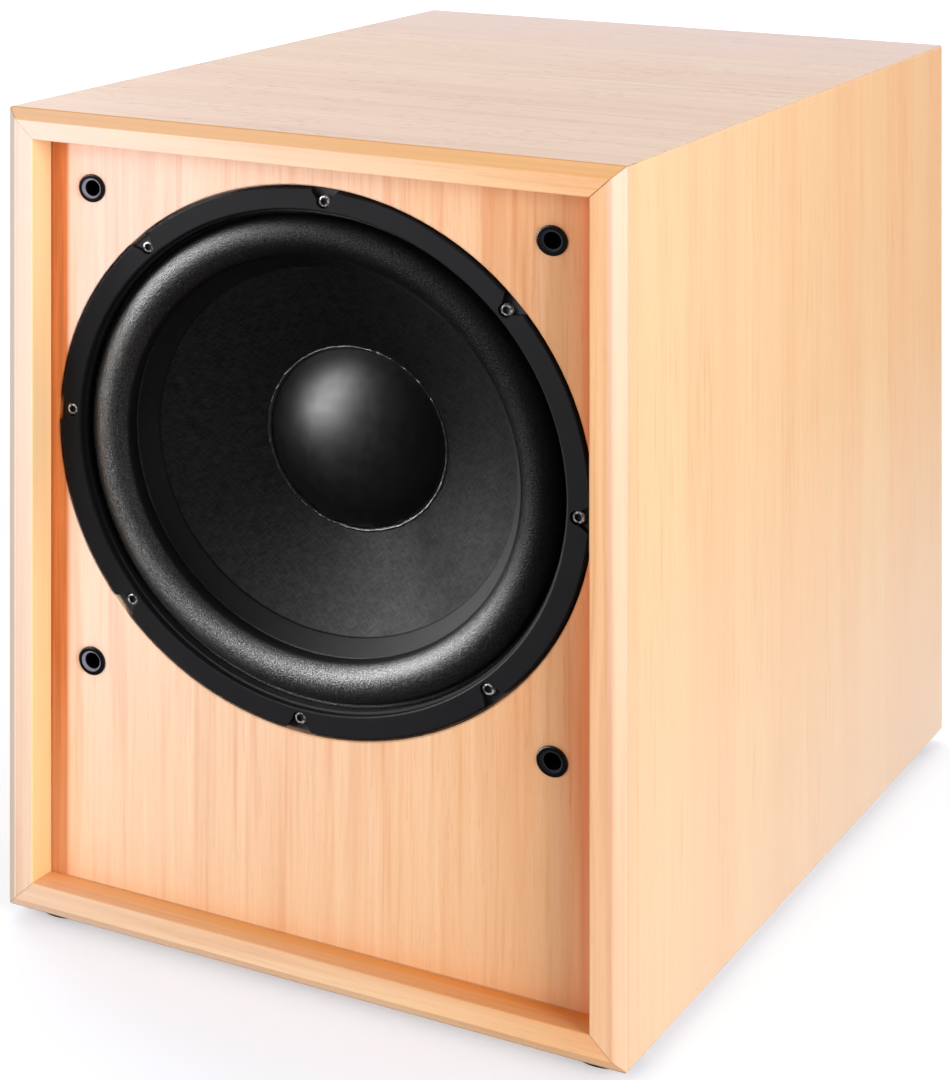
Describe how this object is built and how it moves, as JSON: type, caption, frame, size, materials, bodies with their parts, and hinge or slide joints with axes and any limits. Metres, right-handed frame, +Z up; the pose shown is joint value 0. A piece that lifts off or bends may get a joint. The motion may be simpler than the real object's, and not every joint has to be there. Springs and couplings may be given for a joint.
{
  "type": "powered subwoofer cabinet",
  "caption": "Deep wooden subwoofer cabinet with a chamfered front frame, a recessed baffle carrying a large round driver, grille sockets, rubber feet and a rear amplifier plate.",
  "frame": {"origin": "floor level, centre of the overall footprint including the rear heatsink", "axes": "+Z up, -Y towards the listener (front face), +X to the right seen from the front"},
  "size_m": [0.36, 0.72, 0.488],
  "materials": {
    "cabinet_veneer": "clear satin lacquer over fine straight-grained veneer",
    "frame_wood": "clear satin lacquer on solid wood",
    "raw_board": "unfinished fibreboard",
    "felt": "felted",
    "foam": "closed-cell foam",
    "ring_rubber": "matte moulded",
    "surround_rubber": "satin moulded",
    "foot_rubber": "matte",
    "cone_paper": "matte fibrous black",
    "cap_paper": "satin coated",
    "adhesive": "glossy cured bead",
    "cast_frame": "textured black powder coat",
    "motor_steel": "zinc plated",
    "ferrite": "sintered",
    "coil_former": "thin rolled sheet",
    "copper": "enamelled copper wire",
    "spider_cloth": "resin-treated weave",
    "screw_black": "black oxide",
    "zinc_steel": "zinc plated",
    "socket_plastic": "satin",
    "plate_black": "fine-texture black paint",
    "sink_black": "black anodised",
    "knob_plastic": "satin",
    "shaft_metal": "turned",
    "pot_metal": "nickel plated",
    "switch_plastic": "moulded",
    "nickel": "nickel plated",
    "rca_plastic": "moulded",
    "led_lens": "tinted lens",
    "board": "solder mask",
    "can_aluminium": "sleeved can",
    "toroid_wrap": "polyester tape wrap",
    "cable_jacket": "soft jacket"
  },
  "bodies": {
    "cabinet": {"amp_circuit_board": "board", "amp_gasket": "foam", "amp_plate": "plate_black", "amp_screws": "screw_black", "driver_basket": "cast_frame", "driver_screws": "screw_black", "driver_terminals": "switch_plastic", "driver_trim_ring": "ring_rubber", "felt_lining": "felt", "foot_screws": "zinc_steel", "frame_bottom": "frame_wood", "frame_left": "frame_wood", "frame_right": "frame_wood", "frame_top": "frame_wood", "front_baffle": "cabinet_veneer", "glue_cleats": "raw_board", "grille_sockets": "socket_plastic", "heatsink": "sink_black", "iec_inlet": "switch_plastic", "iec_pins": "nickel", "motor_magnet": "ferrite", "motor_top_plate": "motor_steel", "motor_yoke": "motor_steel", "mounting_gasket": "foam", "panel_bottom": "cabinet_veneer", "panel_left": "cabinet_veneer", "panel_right": "cabinet_veneer", "panel_top": "cabinet_veneer", "pot_bodies": "pot_metal", "rca_insulators": "rca_plastic", "rca_shells": "nickel", "rear_panel": "cabinet_veneer", "reservoir_capacitors": "can_aluminium", "rocker_housing": "switch_plastic", "rubber_feet": "foot_rubber", "small_screws": "screw_black", "speaker_cable": "cable_jacket", "spider": "spider_cloth", "status_led": "led_lens", "surround": "surround_rubber", "switch_bodies": "switch_plastic", "tee_nuts": "zinc_steel", "tinsel_leads": "copper", "toroid_transformer": "toroid_wrap", "transformer_clamp": "zinc_steel", "window_brace": "raw_board"},
    "cone_assembly": {"cone": "cone_paper", "dust_cap": "cap_paper", "dust_cap_adhesive": "adhesive", "voice_coil_former": "coil_former", "voice_coil_winding": "copper"},
    "level_control": {"level_knob": "knob_plastic", "level_shaft": "shaft_metal"},
    "crossover_control": {"crossover_knob": "knob_plastic", "crossover_shaft": "shaft_metal"},
    "phase_switch": {"phase_slider": "switch_plastic"},
    "mode_switch": {"mode_slider": "switch_plastic"},
    "rocker": {"mains_rocker": "switch_plastic"},
    "fuse_holder": {"fuse_drawer": "switch_plastic"}
  },
  "joints": [
    {"name": "cone_travel", "type": "slide", "parent": "cabinet", "child": "cone_assembly", "axis": [0, -1, 0], "range_m": [-0.011, 0.011], "stiffness_N_per_m": 2600, "deforming": ["surround", "spider", "tinsel_leads"]},
    {"name": "level_turn", "type": "hinge", "parent": "cabinet", "child": "level_control", "pos_m": [0.078, 0.342, 0.348], "axis": [0, 1, 0], "range_deg": [-150, 150]},
    {"name": "crossover_turn", "type": "hinge", "parent": "cabinet", "child": "crossover_control", "pos_m": [0.026, 0.342, 0.348], "axis": [0, 1, 0], "range_deg": [-150, 150]},
    {"name": "phase_slide", "type": "slide", "parent": "cabinet", "child": "phase_switch", "axis": [-1, 0, 0], "range_m": [0, 0.004]},
    {"name": "mode_slide", "type": "slide", "parent": "cabinet", "child": "mode_switch", "axis": [-1, 0, 0], "range_m": [0, 0.004]},
    {"name": "mains_rock", "type": "hinge", "parent": "cabinet", "child": "rocker", "pos_m": [-0.024, 0.341, 0.178], "axis": [1, 0, 0], "range_deg": [-16, 0]},
    {"name": "fuse_pull", "type": "slide", "parent": "cabinet", "child": "fuse_holder", "axis": [0, 1, 0], "range_m": [0, 0.019]}
  ]
}
